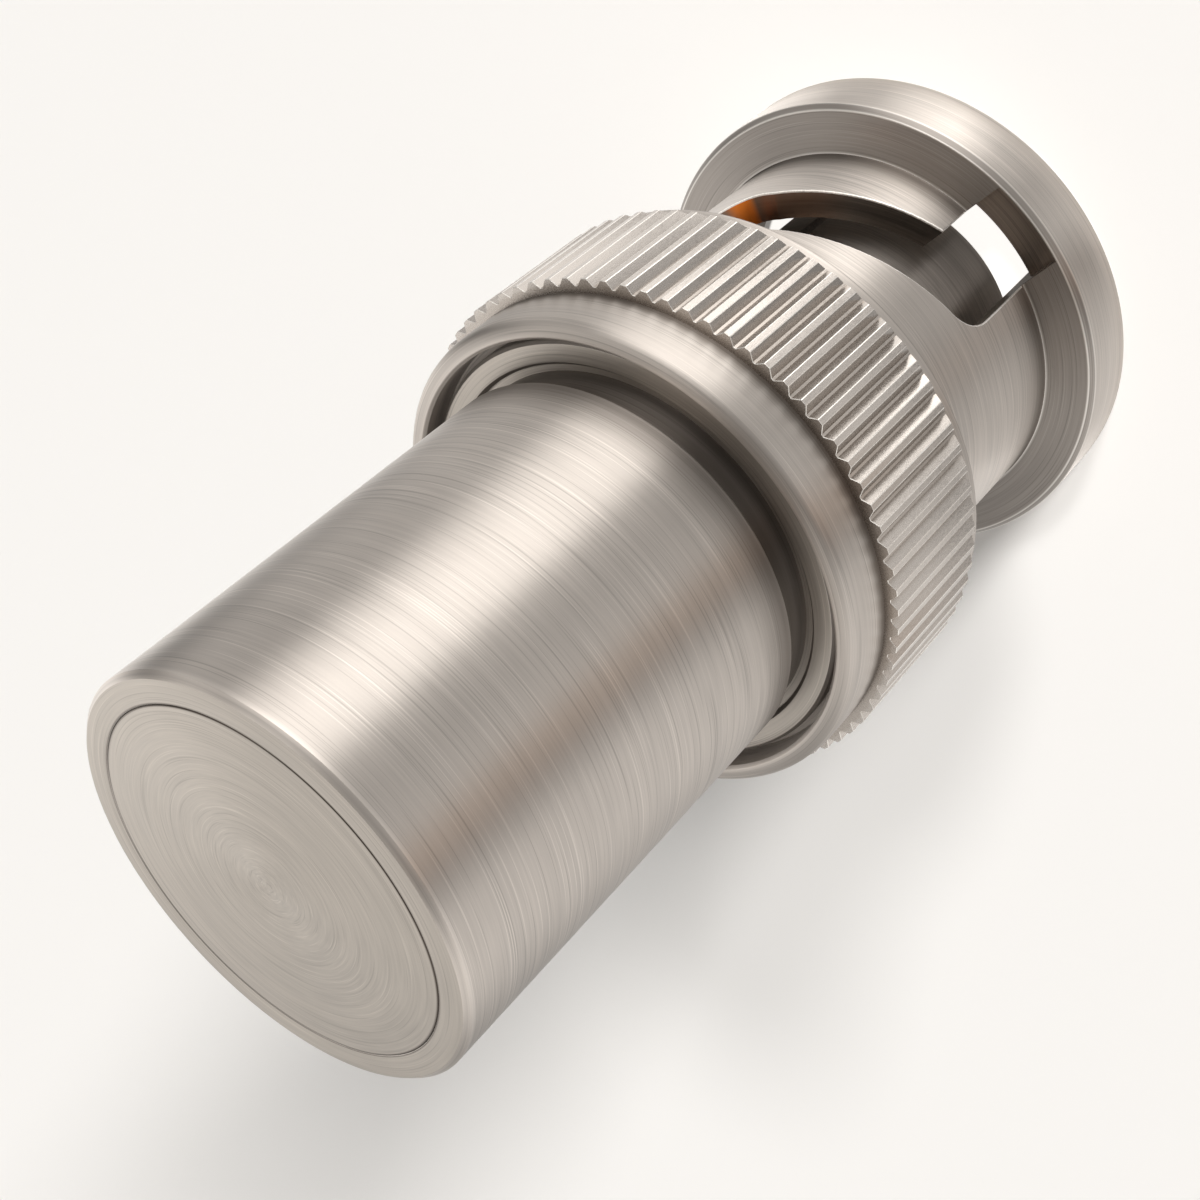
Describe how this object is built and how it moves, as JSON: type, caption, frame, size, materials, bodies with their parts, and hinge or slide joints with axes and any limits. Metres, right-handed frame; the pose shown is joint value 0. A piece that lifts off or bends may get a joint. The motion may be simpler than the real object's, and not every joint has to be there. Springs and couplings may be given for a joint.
{
  "type": "coaxial terminator",
  "caption": "Coaxial terminator: smooth metal barrel with a pressed end cap, and a knurled bayonet coupling nut that turns and springs on the plug body.",
  "frame": {"origin": "centre of the coupling nut's mouth rim, the plane that the part stands on and that leads onto a jack", "axes": "+Z along the axis from the mouth to the closed rear end, -Y towards the nut's first bayonet entry, within a few degrees"},
  "size_m": [0.0144, 0.0144, 0.0276],
  "materials": {
    "nut_metal": "turned and brushed nickel plate on brass, straight knurl",
    "barrel_metal": "nickel plate on brass, brushed round the barrel",
    "cap_metal": "nickel plate on brass, turned in fine rings",
    "body_metal": "turned nickel plate on brass",
    "sleeve_metal": "turned nickel plate on bronze",
    "contact_gold": "gold plate on brass, polished",
    "spring_steel": "oiled spring steel",
    "tinned_lead": "tinned, satin",
    "solder": "bright solder",
    "gasket_rubber": "soft matte silicone",
    "insulator": "white waxy fluoropolymer",
    "resistor_film": "lacquered film on ceramic"
  },
  "bodies": {
    "plug": {"plug_body": "body_metal", "contact_sleeve": "sleeve_metal", "front_dielectric": "insulator", "rear_dielectric": "insulator", "centre_contact": "contact_gold", "retaining_ring": "spring_steel", "gasket": "gasket_rubber", "front_solder": "solder", "front_lead": "tinned_lead", "resistor_front_cap": "tinned_lead", "resistor_core": "resistor_film", "resistor_rear_cap": "tinned_lead", "rear_lead": "tinned_lead", "rear_solder": "solder", "ground_disc": "tinned_lead", "load_housing": "barrel_metal", "end_cap": "cap_metal"},
    "washers": {"wave_washer_rear": "spring_steel", "wave_washer_front": "spring_steel", "thrust_washer": "spring_steel"},
    "nut": {"coupling_nut": "nut_metal"}
  },
  "joints": [
    {"name": "coupling_turn", "type": "hinge", "parent": "plug", "child": "washers", "pos_m": [0, 0, 0.0135], "axis": [0, 0, -1], "continuous": true},
    {"name": "coupling_pull", "type": "slide", "parent": "washers", "child": "nut", "axis": [0, 0, -1], "range_m": [0, 0.0006], "stiffness_N_per_m": 1500, "deforming": ["wave_washer_rear", "wave_washer_front"]}
  ]
}
